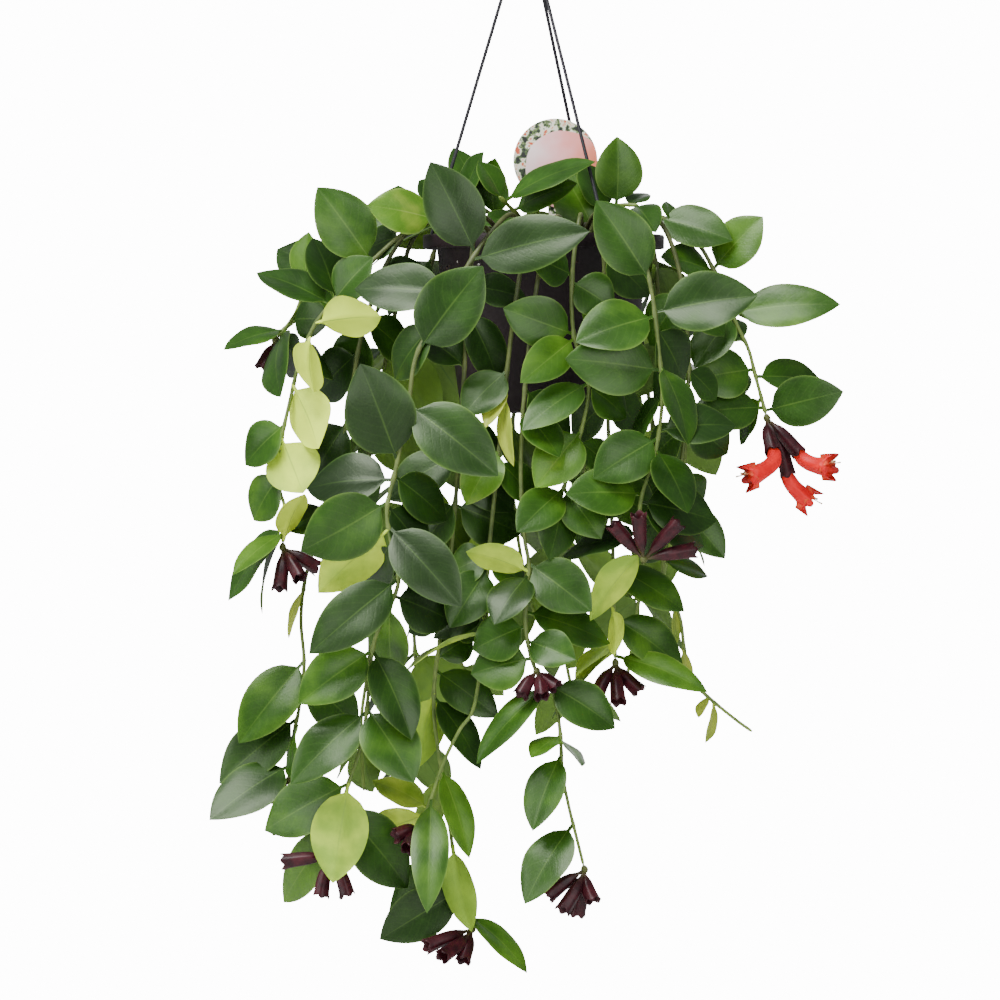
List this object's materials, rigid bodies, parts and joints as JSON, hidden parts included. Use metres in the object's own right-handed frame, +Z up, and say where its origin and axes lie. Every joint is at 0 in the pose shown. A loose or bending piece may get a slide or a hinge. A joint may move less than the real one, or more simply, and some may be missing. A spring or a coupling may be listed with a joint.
{
  "type": "hanging lipstick plant in pot",
  "caption": "Hanging pot of trailing lipstick plant: leafy stems over the rim, dark tubular calyces, a few red flowers, three-leg hanger with a hook.",
  "frame": {"origin": "where the hook bears on what carries it, at the inside top of its bend", "axes": "+Z up along the pot's hanging line, +X to the right and -Y towards the viewer of the plant's front"},
  "size_m": [0.4004, 0.299, 0.6987],
  "materials": {
    "pot_plastic": "satin moulded nursery-pot plastic",
    "hanger_plastic": "satin moulded plastic",
    "compost": null,
    "tag_card": "printed plastic card",
    "foliage": null,
    "calyx": "dark maroon, faintly downy",
    "corolla": "scarlet petals, downy"
  },
  "bodies": {
    "root": {"blooms_centre_low": "calyx", "blooms_centre_mid": "calyx", "blooms_front_centre": "calyx", "blooms_front_long": "calyx", "blooms_front_low_inner": "calyx", "blooms_front_low_left": "calyx", "blooms_left_back": "calyx", "blooms_left_front": "calyx", "blooms_left_low": "calyx", "blooms_right_far": "calyx", "blooms_right_front": "calyx", "corolla_left": "corolla", "corolla_lower": "corolla", "corolla_upper": "corolla", "hanger_hook": "hanger_plastic", "hanger_leg_back": "hanger_plastic", "hanger_leg_front": "hanger_plastic", "hanger_leg_left": "hanger_plastic", "plant_tag": "tag_card", "pot": "pot_plastic", "shoot_top_centre": "foliage", "shoot_top_left": "foliage", "shoot_top_right": "foliage", "soil": "compost", "vine_back_1": "foliage", "vine_back_2": "foliage", "vine_back_3": "foliage", "vine_back_4": "foliage", "vine_back_5": "foliage", "vine_back_6": "foliage", "vine_back_7": "foliage", "vine_centre_low": "foliage", "vine_front_centre": "foliage", "vine_front_long": "foliage", "vine_front_low_inner": "foliage", "vine_front_low_left": "foliage", "vine_front_short": "foliage", "vine_left_back": "foliage", "vine_left_front": "foliage", "vine_left_low": "foliage", "vine_right_far": "foliage", "vine_right_front": "foliage", "vine_right_low": "foliage", "vine_side_right": "foliage"}
  },
  "joints": []
}
